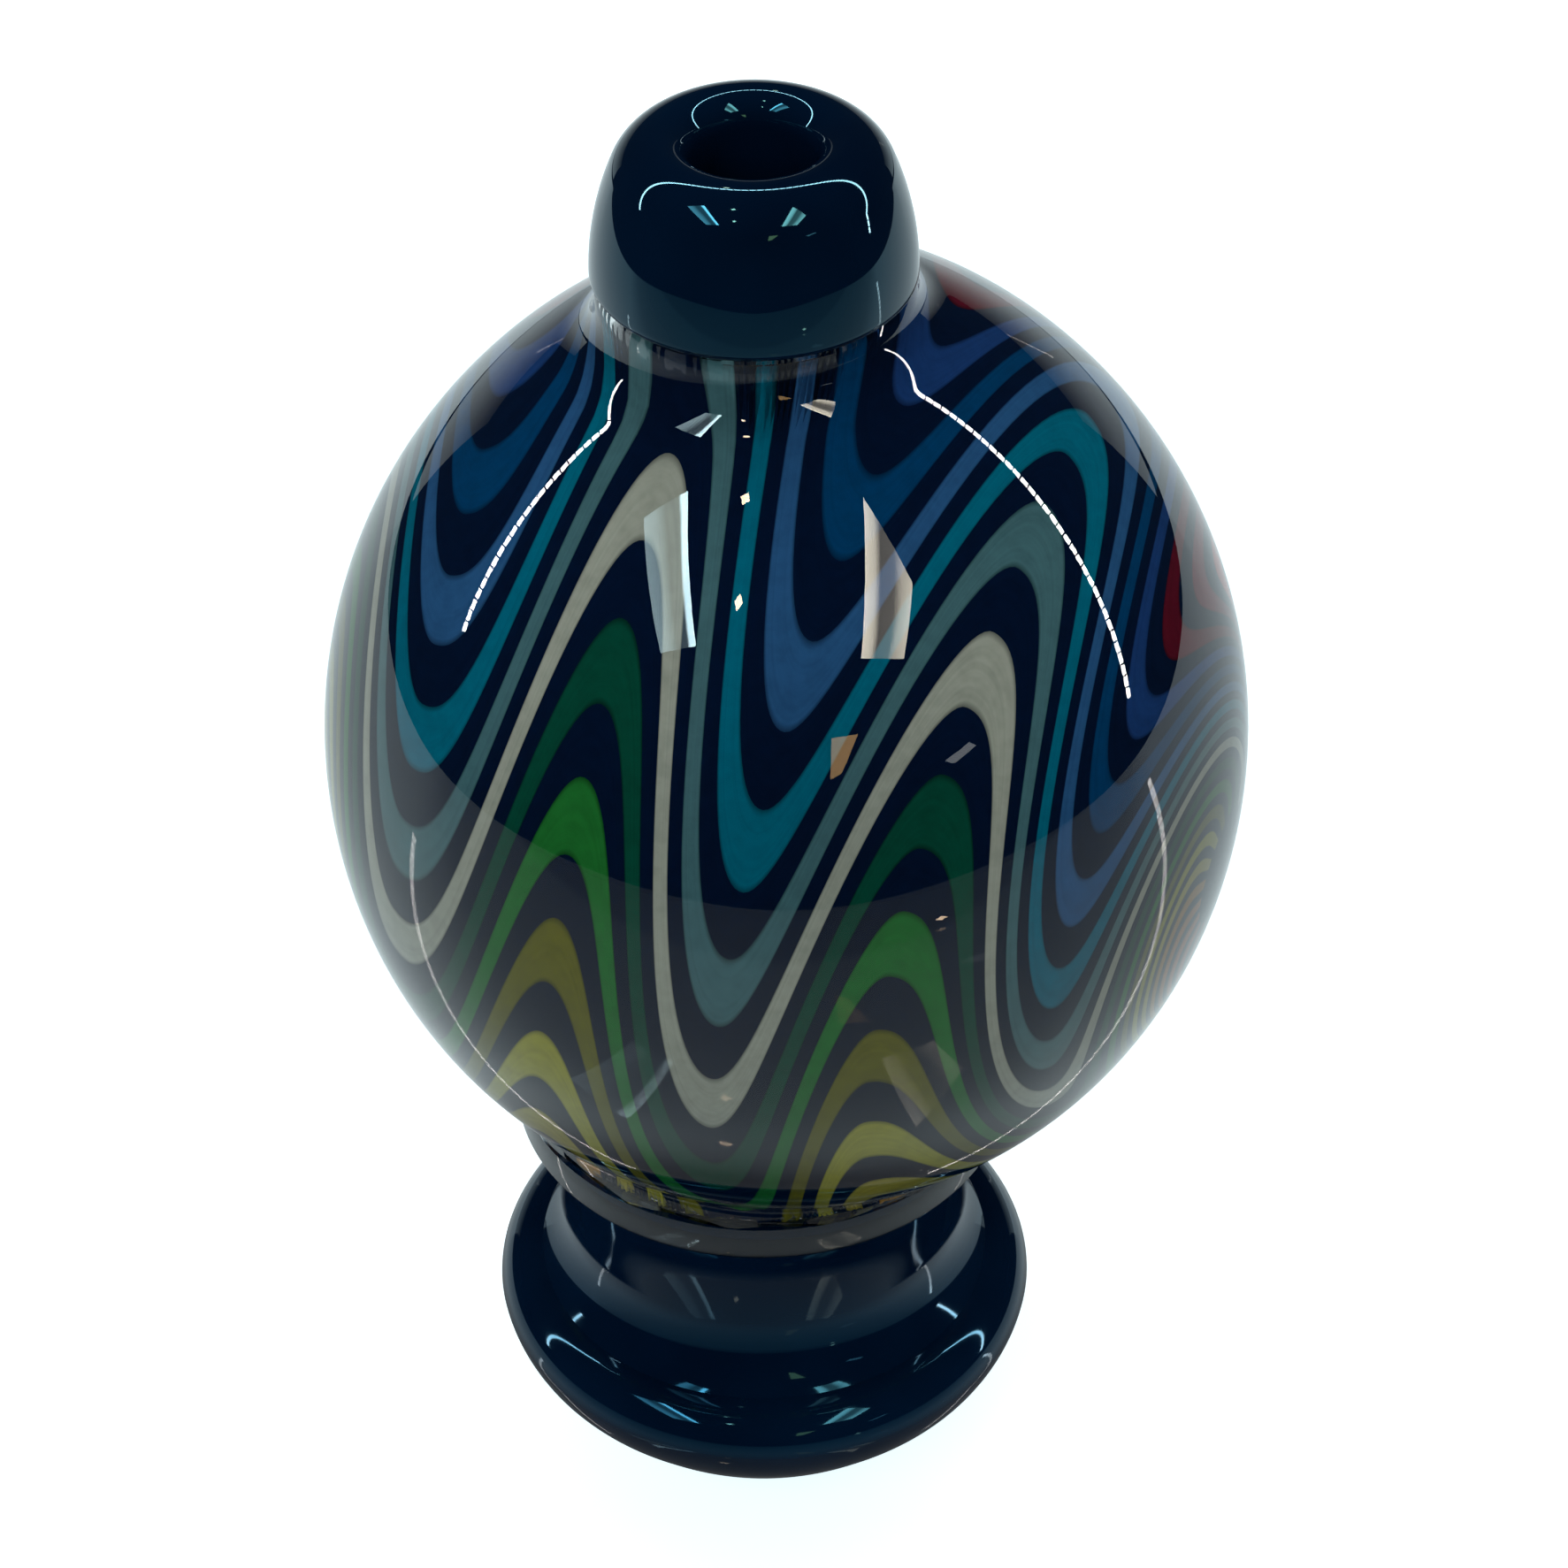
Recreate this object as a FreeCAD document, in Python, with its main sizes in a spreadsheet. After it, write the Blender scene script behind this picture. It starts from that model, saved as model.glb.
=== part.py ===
import FreeCAD
import Part
import math
import os
import Sketcher
from FreeCAD import Rotation, Vector

# Hand blown art glass bud vase, millimetres, +Z up.
# The origin is the middle of the flat that the foot stands on. The neck and the foot share
# the Z axis; the blown body sits a little to +X of it.
#
# The body is blown linework: coloured and black canes lie side by side round a level axis,
# and were wound to and fro while soft, so that each runs as the same zigzag. A thick clear
# casing covers them. The neck collar and the foot are black glass, joined on while hot.

SIZES = {
    # blown body: two half axes, its middle above the base and its shift along X
    "body_radius": 32.0, "body_half_height": 34.5, "body_middle": 65.2, "body_shift": 1.9,
    # walls, from outside to inside
    "casing_wall": 2.9, "cane_wall": 2.5,
    # shoulder of the casing under the neck collar
    "crease_radius": 10.6, "crease_height": 102.8, "shoulder_round": 5.8,
    # step of the casing on the foot
    "heel_radius": 18.4, "heel_height": 34.4, "heel_round": 2.2,
    # neck collar
    "collar_side_arc": 19.9, "collar_turn_radius": 9.09, "collar_turn_height": 110.6,
    "collar_turn_arc": 3.8, "crown_radius": 6.15, "lip_height": 113.0, "lip_arc": 2.1,
    "mouth_height": 110.9, "bore_radius": 4.05, "spigot_radius": 7.2, "spigot_end": 94.0,
    # clear ring between casing and foot
    "ring_radius": 18.4, "ring_under_radius": 16.9, "ring_under_height": 31.0,
    "ring_edge_arc": 3.4, "ring_bore": 14.0,
    # foot stem: a cove from under the ring down to the disc
    "stem_top_radius": 16.6, "waist_radius": 14.6, "waist_height": 20.8,
    "stem_upper_arc": 27.0, "stem_lower_arc": 7.0,
    # foot disc
    "disc_top_radius": 17.2, "disc_top_height": 15.4,
    "rim_radius": 20.4, "rim_height": 12.4, "rim_upper_arc": 3.1,
    "rim_under_radius": 18.3, "rim_under_height": 8.0, "rim_lower_arc": 8.0,
    "base_radius": 9.95, "underside_arc": 34.0,
    # the level axis that the canes are wound round: its bearing from +X towards -Y, its dip,
    # and the half angle of the glass button that closes the linework at each end
    "axis_bearing": 18.6, "axis_dip": 7.4, "button_half_angle": 8.0,
    # one cane pair takes 20 degrees of the round; a coloured cane takes this much of it
    "pair_angle": 20.0, "coloured_angle": 10.6,
}

# Turning points of the zigzag: degrees along the axis, degrees wound round it there, and the
# lag of the turn that follows (1 is even, more starts slowly).
TURNS = [(-90, 105, 1), (-72, 95, 1), (-39, -18, 1.26), (-13, 60, 1), (10, -17, 1),
         (27.5, 53, 1), (31, 53, 1), (53.5, -38, 1), (75, 85, 1), (90, 95, 1)]

# Coloured canes in order round the axis, one in each pair; the first faces the front.
COLOURS = ["cream", "sage", "teal", "periwinkle", "cobalt", "violet", "red", "ruby",
           "scarlet", "vermilion", "orange", "tangerine", "amber", "lemon", "yellow",
           "gold", "leaf_green", "forest_green"]

STATIONS = 83          # points along each cane
EDGE_MATCH = 0.1       # how closely an edge must match a post's size, in millimetres
LEAST_RISE = 0.01      # an edge that rises less than this is level, in millimetres
LEAST_OVERLAP = 0.01   # a smaller overlap of two solids is none, in cubic millimetres

doc = FreeCAD.newDocument("art_glass_vase")
sheet = doc.addObject("Spreadsheet::Sheet", "Sizes")
for row, (word, value) in enumerate(SIZES.items(), 1):
    sheet.set("A%d" % row, word)
    sheet.set("B%d" % row, str(value))
    sheet.setAlias("B%d" % row, word)
doc.recompute()


def size(word):
    """A driving dimension, read back from the sheet."""
    return float(sheet.get(word))


def bind(thing, path, expression):
    thing.setExpression(path, expression)


def plane(body, role):
    return next(f for f in body.Origin.OriginFeatures if f.Role == role)


def corner(words):
    """Radius and height of an outline's corner; None stands for nought."""
    return Vector(*[size(word) if word else 0.0 for word in words], 0)


def arc(start, end, radius, turn):
    """Circular edge from start to end that bends left (turn 1) or right (turn -1)."""
    chord = end - start
    middle = (start + end) / 2
    left = Vector(-chord.y, chord.x, 0).normalize()
    centre = middle + left * turn * math.sqrt(radius ** 2 - (chord.Length / 2) ** 2)
    first, last = (start, end) if turn > 0 else (end, start)
    angles = [math.atan2(p.y - centre.y, p.x - centre.x) for p in (first, last)]
    return Part.ArcOfCircle(Part.Circle(centre, Vector(0, 0, 1), radius), *angles)


def turned(label, outline):
    """Body turned about the Z axis from an outline in the XZ plane.

    Each step of the outline is (radius word, height word, arc word, turn), where the arc
    leads from this corner to the next, or None for a straight edge.
    """
    body = doc.addObject("PartDesign::Body", label)
    sketch = body.newObject("Sketcher::SketchObject", label + "_outline")
    sketch.AttachmentSupport = [(plane(body, "XZ_Plane"), "")]
    sketch.MapMode = "FlatFace"
    corners = [corner(step[:2]) for step in outline]
    ends = []
    for i, (_, _, arc_word, turn) in enumerate(outline):
        start, end = corners[i], corners[(i + 1) % len(corners)]
        if arc_word:
            edge = sketch.addGeometry(arc(start, end, size(arc_word), turn), False)
            ends.append((edge, 1, 2) if turn > 0 else (edge, 2, 1))
        else:
            edge = sketch.addGeometry(Part.LineSegment(start, end), False)
            ends.append((edge, 1, 2))
    for i, (radius_word, height_word, arc_word, _) in enumerate(outline):
        edge, first, _ = ends[i]
        before, _, last = ends[i - 1]
        sketch.addConstraint(Sketcher.Constraint("Coincident", before, last, edge, first))
        for kind, axis, word in (("DistanceX", -2, radius_word),
                                 ("DistanceY", -1, height_word)):
            if word is None:
                pin = Sketcher.Constraint("PointOnObject", edge, first, axis)
                sketch.addConstraint(pin)
                continue
            value = size(word)
            pin = sketch.addConstraint(
                Sketcher.Constraint(kind, -1, 1, edge, first, value))
            bind(sketch, "Constraints[%d]" % pin, "Sizes." + word)
        if arc_word:
            pin = sketch.addConstraint(
                Sketcher.Constraint("Radius", edge, size(arc_word)))
            bind(sketch, "Constraints[%d]" % pin, "Sizes." + arc_word)
    turn_about = body.newObject("PartDesign::Revolution", label + "_turned")
    turn_about.Profile = (sketch, [""])
    turn_about.ReferenceAxis = (sketch, ["V_Axis"])
    turn_about.Angle = 360
    sketch.Visibility = False
    return body


def blown(label, wall):
    """Ellipsoid of the blown body, inset by a wall given as an expression."""
    egg = doc.addObject("Part::Ellipsoid", label)
    bind(egg, "Radius1", "Sizes.body_half_height - (%s)" % wall)
    bind(egg, "Radius2", "Sizes.body_radius - (%s)" % wall)
    bind(egg, "Radius3", "Sizes.body_radius - (%s)" % wall)
    bind(egg, "Placement.Base.x", "Sizes.body_shift")
    bind(egg, "Placement.Base.z", "Sizes.body_middle")
    return egg


def post(label, radius, bottom, top):
    """Upright cylinder on the Z axis; all three sizes are expressions."""
    pin = doc.addObject("Part::Cylinder", label)
    bind(pin, "Radius", radius)
    bind(pin, "Height", "(%s) - (%s)" % (top, bottom))
    bind(pin, "Placement.Base.z", bottom)
    return pin


def combined(kind, label, base, tool):
    result = doc.addObject("Part::" + kind, label)
    result.Label = label
    result.Base = base
    result.Tool = tool
    return result


def joined(label, things):
    result = doc.addObject("Part::MultiFuse", label)
    result.Shapes = things
    return result


def creases(shape, radius):
    """Numbers of the closed edges where a post of this radius meets the blown body."""
    found = []
    for number, edge in enumerate(shape.Edges, 1):
        box = edge.BoundBox
        misfit = max(abs(box.XLength - 2 * radius), abs(box.YLength - 2 * radius))
        if misfit < EDGE_MATCH and box.ZLength > LEAST_RISE:
            found.append(number)
    return found


def rounded(label, base, radius_words):
    """Fillet the creases of a joined shape; radius_words maps a post's radius to a round."""
    doc.recompute()
    result = doc.addObject("Part::Fillet", label)
    result.Base = base
    result.Edges = [(number, size(round_word), size(round_word))
                    for post_word, round_word in radius_words.items()
                    for number in creases(base.Shape, size(post_word))]
    return result


def axis_frame():
    """Unit vectors: along the winding axis, square to it at the front, and square upwards."""
    bearing, dip = (math.radians(size(w)) for w in ("axis_bearing", "axis_dip"))
    along = Vector(math.cos(dip) * math.cos(bearing), -math.cos(dip) * math.sin(bearing),
                   -math.sin(dip))
    front = Vector(0, -1, 0)
    front = (front - along * front.dot(along)).normalize()
    return along, front, front.cross(along)


def wound(at):
    """Degrees that the canes are wound round the axis, at a place along it in degrees."""
    for (start, low, lag), (end, high, _) in zip(TURNS, TURNS[1:]):
        if start <= at <= end:
            share = ((at - start) / (end - start)) ** lag
            return low + (high - low) * (1 - math.cos(math.pi * share)) / 2
    return TURNS[-1][1]


def heading(at, round_angle):
    """Direction from the body's middle to a place on the linework."""
    along, front, up = axis_frame()
    lean, swing = math.radians(at), math.radians(round_angle)
    across = front * math.cos(swing) + up * math.sin(swing)
    return along * math.sin(lean) + across * math.cos(lean)


def reach(direction, wall):
    """Distance from the body's middle to its ellipsoid, inset by a wall."""
    across = math.hypot(direction.x, direction.y) / (size("body_radius") - wall)
    upward = direction.z / (size("body_half_height") - wall)
    return 1 / math.hypot(across, upward)


def cane_face(round_start, round_end, wall):
    """Zigzag strip of the ellipsoid inset by a wall, between two angles round the axis."""
    middle = Vector(size("body_shift"), 0, size("body_middle"))
    end_angle = 90 - size("button_half_angle")
    rows = []
    for round_angle in (round_start, (round_start + round_end) / 2, round_end):
        row = []
        for i in range(STATIONS):
            at = end_angle * (2 * i / (STATIONS - 1) - 1)
            direction = heading(at, round_angle + wound(at))
            row.append(middle + direction * reach(direction, wall))
        rows.append(row)
    surface = Part.BSplineSurface()
    surface.interpolate(rows)
    return surface


def cane(label, round_start, round_end):
    """Solid of one cane: a strip on each face of the cane layer, and ruled walls between."""
    walls = (size("casing_wall"), size("casing_wall") + size("cane_wall"))
    outer, inner = (cane_face(round_start, round_end, wall) for wall in walls)

    def edges(surface):
        u_start, u_end, v_start, v_end = surface.bounds()
        return [iso.toShape() for iso in (surface.uIso(u_start), surface.vIso(v_end),
                                          surface.uIso(u_end), surface.vIso(v_start))]

    faces = [outer.toShape(), inner.toShape()]
    faces += [Part.makeRuledSurface(*pair) for pair in zip(edges(outer), edges(inner))]
    shell = Part.Shell(faces)
    shell.sewShape()
    solid = Part.Solid(shell)
    if solid.Volume < 0:
        solid.reverse()
    result = doc.addObject("Part::Feature", label)
    result.Shape = solid
    return result


# Black neck collar: a soft rounded lip round the bore, and a spigot that runs down through
# the wall of the body.
neck_collar = turned("neck_collar", [
    ("bore_radius", "spigot_end", None, 0),
    ("spigot_radius", "spigot_end", None, 0),
    ("spigot_radius", "crease_height", None, 0),
    ("crease_radius", "crease_height", "collar_side_arc", 1),
    ("collar_turn_radius", "collar_turn_height", "collar_turn_arc", 1),
    ("crown_radius", "lip_height", "lip_arc", 1),
    ("bore_radius", "mouth_height", None, 0),
])

# Clear ring where the body was joined to the foot.
ring_blank = turned("ring_blank", [
    ("ring_bore", "ring_under_height", None, 0),
    ("ring_under_radius", "ring_under_height", "ring_edge_arc", 1),
    ("ring_radius", "heel_height", None, 0),
    ("ring_bore", "heel_height", None, 0),
])

# Black foot stem, a cove that narrows to a waist and flares on to the disc.
stem_blank = turned("stem_blank", [
    (None, "disc_top_height", None, 0),
    ("disc_top_radius", "disc_top_height", "stem_lower_arc", -1),
    ("waist_radius", "waist_height", "stem_upper_arc", -1),
    ("stem_top_radius", "ring_under_height", None, 0),
    ("ring_bore", "ring_under_height", None, 0),
    ("ring_bore", "heel_height", None, 0),
    (None, "heel_height", None, 0),
])

# Black foot disc: a fat round rim, and an underside that tapers to the small flat that the
# vase stands on.
foot_disc = turned("foot_disc", [
    (None, None, None, 0),
    ("base_radius", None, "underside_arc", 1),
    ("rim_under_radius", "rim_under_height", "rim_lower_arc", 1),
    ("rim_radius", "rim_height", "rim_upper_arc", 1),
    ("disc_top_radius", "disc_top_height", None, 0),
    (None, "disc_top_height", None, 0),
])

# Outside of the clear casing: the blown egg, a shoulder up to the neck and a heel.
casing_parts = [
    blown("casing_egg", "0"),
    post("casing_shoulder", "Sizes.crease_radius", "Sizes.body_middle",
         "Sizes.crease_height"),
    post("casing_heel", "Sizes.heel_radius", "Sizes.heel_height", "Sizes.body_middle"),
]
casing_outside = rounded("casing_outside", joined("casing_rough", casing_parts),
                         {"crease_radius": "shoulder_round", "heel_radius": "heel_round"})

# The casing is cast on the cane layer, and the neck's spigot passes through both.
linework_outside = blown("linework_outside", "Sizes.casing_wall")
spigot_hole = post("spigot_hole", "Sizes.spigot_radius", "Sizes.body_middle",
                   "Sizes.crease_height + 1")
clear_casing = combined("Cut", "clear_casing", casing_outside,
                        joined("casing_inside", [linework_outside, spigot_hole]))

# Foot pieces that touch the casing take its shape.
clear_ring = combined("Cut", "clear_ring", ring_blank, casing_outside)
foot_stem = combined("Cut", "foot_stem", stem_blank, casing_outside)

# The two ends of the linework are closed with round buttons of black glass.
cavity = blown("cavity", "Sizes.casing_wall + Sizes.cane_wall")
layer = combined("Cut", "cane_layer", linework_outside, cavity)


def button(label, side):
    """Piece of the cane layer inside a cone round one end of the winding axis."""
    cone = doc.addObject("Part::Cone", label + "_cone")
    cone.Radius1 = 0
    bind(cone, "Height", "Sizes.body_half_height")
    bind(cone, "Radius2", "Sizes.body_half_height * tan(Sizes.button_half_angle * 1 deg)")
    cone.Placement = FreeCAD.Placement(
        Vector(size("body_shift"), 0, size("body_middle")),
        Rotation(Vector(0, 0, 1), axis_frame()[0] * side))
    return combined("Common", label, layer, cone)


buttons = [button("button_left", -1), button("button_right", 1)]

# The canes: each pair is a coloured cane and the black one above it. Those that run under
# the neck are cut through by the spigot.
doc.recompute()
canes = []
half = size("coloured_angle") / 2
for number, colour in enumerate(COLOURS):
    middle_angle = number * size("pair_angle")
    next_start = middle_angle + size("pair_angle") - half
    for label, start, end in (
            ("cane_%02d_%s" % (number + 1, colour), middle_angle - half, middle_angle + half),
            ("cane_%02d_black" % (number + 1), middle_angle + half, next_start)):
        whole = cane(label, start, end)
        if whole.Shape.common(spigot_hole.Shape).Volume > LEAST_OVERLAP:
            whole.Label = label + "_whole"
            canes.append(combined("Cut", label, whole, spigot_hole))
        else:
            canes.append(whole)

doc.recompute()

pieces = [neck_collar, clear_casing, clear_ring, foot_stem, foot_disc] + buttons + canes
for thing in doc.Objects:
    if "Invalid" in thing.State or "Error" in thing.State:
        raise RuntimeError("%s failed: %s" % (thing.Label, thing.State))
for piece in pieces:
    if piece.Shape.isNull() or not piece.Shape.isValid():
        raise RuntimeError("%s has no sound shape" % piece.Label)

os.makedirs("parts", exist_ok=True)
for piece in pieces:
    piece.Shape.exportStep("parts/%s.step" % piece.Label)
    box = piece.Shape.BoundBox
    print("%-24s %9.1f mm3  %d solid(s)  z %.2f to %.2f" % (
        piece.Label, piece.Shape.Volume, len(piece.Shape.Solids), box.ZMin, box.ZMax))
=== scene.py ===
import math

import bmesh
import bpy
import numpy as np
from mathutils import Matrix, Vector


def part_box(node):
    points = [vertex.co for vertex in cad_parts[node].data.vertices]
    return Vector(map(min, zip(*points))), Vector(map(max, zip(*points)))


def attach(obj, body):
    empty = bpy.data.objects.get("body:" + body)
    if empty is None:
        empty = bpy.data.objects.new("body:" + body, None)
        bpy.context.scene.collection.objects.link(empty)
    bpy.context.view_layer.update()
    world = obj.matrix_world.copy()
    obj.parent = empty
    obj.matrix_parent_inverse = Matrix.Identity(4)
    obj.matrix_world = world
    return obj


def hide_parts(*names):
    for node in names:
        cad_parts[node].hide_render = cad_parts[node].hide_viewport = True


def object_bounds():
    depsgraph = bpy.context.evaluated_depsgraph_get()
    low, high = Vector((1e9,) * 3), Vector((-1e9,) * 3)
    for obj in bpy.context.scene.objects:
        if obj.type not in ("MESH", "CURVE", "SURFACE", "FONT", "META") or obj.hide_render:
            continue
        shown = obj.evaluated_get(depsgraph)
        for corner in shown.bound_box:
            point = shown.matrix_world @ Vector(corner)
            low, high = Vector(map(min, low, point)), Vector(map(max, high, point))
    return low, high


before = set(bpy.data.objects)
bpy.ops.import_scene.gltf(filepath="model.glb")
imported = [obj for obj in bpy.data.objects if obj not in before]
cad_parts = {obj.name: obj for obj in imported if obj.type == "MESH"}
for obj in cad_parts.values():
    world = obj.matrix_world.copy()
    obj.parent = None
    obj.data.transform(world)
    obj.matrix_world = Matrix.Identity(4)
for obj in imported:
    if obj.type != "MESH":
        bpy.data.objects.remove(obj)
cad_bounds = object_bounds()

MM = 0.001

# ---------------------------------------------------------------- sizes, in millimetres
EGG_HALF_HEIGHT = 34.5
CASING_WALL = 2.9          # clear glass over the linework
CANE_WALL = 2.5
NECK_FLARE = 9.4           # radius at which the linework turns up under the collar
HEEL_FLARE = 16.9          # the same at the heel
NECK_BLEND = 2.6           # how softly the egg runs into the neck
HEEL_BLEND = 2.6
HOLE = 6.8                 # hole in the casing, inside the collar's spigot
CUT = 6.3                  # hole in the linework
LAP = 0.35                 # the casing reaches this far into the linework
SWELL, SWELL_TOP = 0.45, 1.6    # how much fuller than an egg: the upper half, beside the neck
NECK_STEP, HEEL_STEP = 0.3, 0.15    # the casing is this much narrower than its neighbours there
NECK_COVER, HEEL_COVER = 0.5, 0.4   # clear glass over the ends of the linework
SKIN = 0.02                # the buttons stay this far inside the canes' surfaces

casing_low, casing_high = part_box("clear_casing")
collar_low, collar_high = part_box("neck_collar")
ring_low, ring_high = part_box("clear_ring")
disc_low, disc_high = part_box("foot_disc")

EGG = (casing_high.y - casing_low.y) / 2 / MM
MIDDLE = np.array([(casing_high.x + casing_low.x) / 2 / MM, 0.0,
                   casing_low.z / MM + EGG_HALF_HEIGHT])
COLLAR_RADIUS, SPIGOT_END, LIP = collar_high.y / MM, collar_low.z / MM, collar_high.z / MM
CREASE = casing_high.z / MM         # where the casing meets the collar
HEEL_RADIUS, HEEL, RING_BOTTOM = ring_high.y / MM, ring_high.z / MM, ring_low.z / MM
DISC_BOTTOM, DISC_TOP = disc_low.z / MM, disc_high.z / MM

# ---------------------------------------------------------------- winding of the linework
AXIS_BEARING, AXIS_DIP = math.radians(18.6), math.radians(7.4)
PAIR, COLOURED = 20.0, 10.6     # degrees round the axis: a coloured and a black cane, the first
BUTTON = 8.0                    # degrees from the axis to a button's edge
# turning points: degrees along the axis, degrees wound there, lag of the turn that follows
TURNS = [(-90, 105, 1), (-72, 95, 1), (-39, -18, 1.26), (-13, 60, 1), (10, -17, 1),
         (28.2, 54, 1.18), (53.5, -38, 1), (80, 135, 1), (90, 140, 1)]
COLOURS = ["cream", "sage", "teal", "periwinkle", "cobalt", "violet", "red", "ruby",
           "scarlet", "vermilion", "orange", "tangerine", "amber", "lemon", "yellow",
           "gold", "leaf_green", "forest_green"]
# directions along the axis, and across it to the front and upward
ALONG = np.array([math.cos(AXIS_DIP) * math.cos(AXIS_BEARING),
                  -math.cos(AXIS_DIP) * math.sin(AXIS_BEARING), -math.sin(AXIS_DIP)])
FRONT = np.array([0.0, -1.0, 0.0])
FRONT = FRONT - ALONG * FRONT.dot(ALONG)
FRONT = FRONT / np.linalg.norm(FRONT)
UP = np.cross(FRONT, ALONG)


def wound(at):
    """Degrees wound round the axis, at places along it in degrees."""
    at = np.asarray(at, float)
    angle = np.full(at.shape, float(TURNS[-1][1]))
    for (start, low, lag), (end, high, _) in zip(TURNS, TURNS[1:]):
        share = np.clip((at - start) / (end - start), 0, 1) ** lag
        eased = low + (high - low) * (1 - np.cos(np.pi * share)) / 2
        angle = np.where((at >= start) & (at <= end), eased, angle)
    return angle


def heading(at, round_angle):
    """Unit directions from the egg's middle to angles along and round the axis."""
    lean, swing = np.radians(at)[..., None], np.radians(round_angle)[..., None]
    across = FRONT * np.cos(swing) + UP * np.sin(swing)
    return ALONG * np.sin(lean) + across * np.cos(lean)


def laid(at, round_angle):
    """Directions of places on the linework: the winding, and the slight drift of the hand.

    Drift is in degrees along the axis and swing in degrees round it."""
    turn = np.sin(np.radians(round_angle - 20))
    run = at / 60
    fade = np.cos(np.radians(at))
    drift = (-0.45 - 0.5 * run - turn - 1.0 * run * turn + 1.6 * run ** 2) * fade
    swing = (0.45 + 0.65 * run + 0.1 * turn + 1.4 * run * turn - 1.8 * run ** 2
             + 1.2 * turn ** 2) * fade
    return heading(at + drift, round_angle + wound(at) + swing)


def shoulder(u):
    """How much fuller than an egg the body is towards the neck."""
    rise = np.clip(u[..., 2], 0, 1)
    return SWELL * rise ** 2 + SWELL_TOP * rise ** 8


def egg(u, wall):
    """Distance from the egg's middle along u to the egg inset by a wall."""
    flat = np.hypot(u[..., 0], u[..., 1]) / (EGG - wall)
    return 1 / np.hypot(flat, u[..., 2] / (EGG_HALF_HEIGHT - wall))


def soft_union(a, b, k):
    """Smaller of two distances, with the crease between the two shapes filled over k."""
    fill = np.maximum(k - np.abs(a - b), 0)
    return np.minimum(a, b) - fill ** 2 / (4 * k)


def outside_by(points, wall, neck, neck_top, heel, heel_bottom):
    """Distance of points outside the egg inset by a wall, joined to the neck and heel."""
    axes = np.array([EGG - wall, EGG - wall, EGG_HALF_HEIGHT - wall])
    away = points - MIDDLE
    length = np.linalg.norm(away, axis=-1, keepdims=True)
    away = away * (1 - shoulder(away / length)[..., None] / length)
    scaled = np.linalg.norm(away / axes, axis=-1)
    slope = np.linalg.norm(away / axes ** 2, axis=-1) + 1e-9
    body = scaled * (scaled - 1) / slope
    far = np.hypot(points[..., 0], points[..., 1])
    upper = np.maximum(far - neck, np.maximum(points[..., 2] - neck_top,
                                              MIDDLE[2] - points[..., 2]))
    lower = np.maximum(far - heel, np.maximum(heel_bottom - points[..., 2],
                                              points[..., 2] - MIDDLE[2]))
    return soft_union(soft_union(body, upper, NECK_BLEND), lower, HEEL_BLEND)


NEAREST, FARTHEST, HALVINGS = 20.0, 60.0, 26


def reach(u, *shape):
    """Distance from the egg's middle along u to the surface of that joined shape."""
    low = np.full(u.shape[:-1], NEAREST)
    high = np.full(u.shape[:-1], FARTHEST)
    for _ in range(HALVINGS):
        middle = (low + high) / 2
        within = outside_by(MIDDLE + u * middle[..., None], *shape) < 0
        low = np.where(within, middle, low)
        high = np.where(within, high, middle)
    return (low + high) / 2


def outer(u):
    """Outside of the casing."""
    return reach(u, 0.0, COLLAR_RADIUS - NECK_STEP, CREASE, HEEL_RADIUS - HEEL_STEP, HEEL)


def linework(u):
    """Outside of the linework."""
    return reach(u, CASING_WALL, NECK_FLARE, CREASE - NECK_COVER, HEEL_FLARE,
                 HEEL + HEEL_COVER)


def cavity(u):
    """Inside of the linework."""
    return egg(u, CASING_WALL + CANE_WALL)


# ---------------------------------------------------------------- mesh helpers
def make_mesh(name, points_mm, faces, uv=None, sharp=None):
    """Smooth object with outward faces; edges sharper than some degrees stay hard."""
    mesh = bpy.data.meshes.new(name)
    mesh.from_pydata((np.asarray(points_mm, float) * MM).tolist(), [], faces)
    if uv is not None:
        layer = mesh.uv_layers.new(name="run")
        loops = np.empty(len(mesh.loops), np.int32)
        mesh.loops.foreach_get("vertex_index", loops)
        layer.data.foreach_set("uv", np.asarray(uv, np.float32)[loops].ravel())
    mesh.validate()
    tidy = bmesh.new()
    tidy.from_mesh(mesh)
    bmesh.ops.recalc_face_normals(tidy, faces=tidy.faces)
    tidy.to_mesh(mesh)
    tidy.free()
    mesh.shade_smooth()
    if sharp:
        mesh.set_sharp_from_angle(angle=math.radians(sharp))
    obj = bpy.data.objects.new(name, mesh)
    bpy.context.collection.objects.link(obj)
    return obj


def grid_faces(rows, columns, wrap_rows):
    """Faces of a grid of points that closes on itself across its columns."""
    faces = []
    for i in range(rows if wrap_rows else rows - 1):
        for j in range(columns):
            a, b = i * columns + j, i * columns + (j + 1) % columns
            k = (i + 1) % rows
            faces.append((a, b, k * columns + (j + 1) % columns, k * columns + j))
    return faces


def declare(obj, cad_name, material):
    """Give a piece its material and its place in the CAD frame."""
    obj.data.materials.append(material)
    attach(obj, "root")
    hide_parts(cad_name)


# ---------------------------------------------------------------- node helpers
def new_material(name):
    """Material, its node tree and its shader."""
    material = bpy.data.materials.new(name)
    material.use_nodes = True
    tree = material.node_tree
    return material, tree, tree.nodes["Principled BSDF"]


def node(tree, kind, **settings):
    """New node; capitalised settings are its inputs, the rest its own properties."""
    made = tree.nodes.new(kind)
    for key, value in settings.items():
        if key[0].isupper():
            made.inputs[key].default_value = value
        else:
            setattr(made, key, value)
    return made


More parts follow.
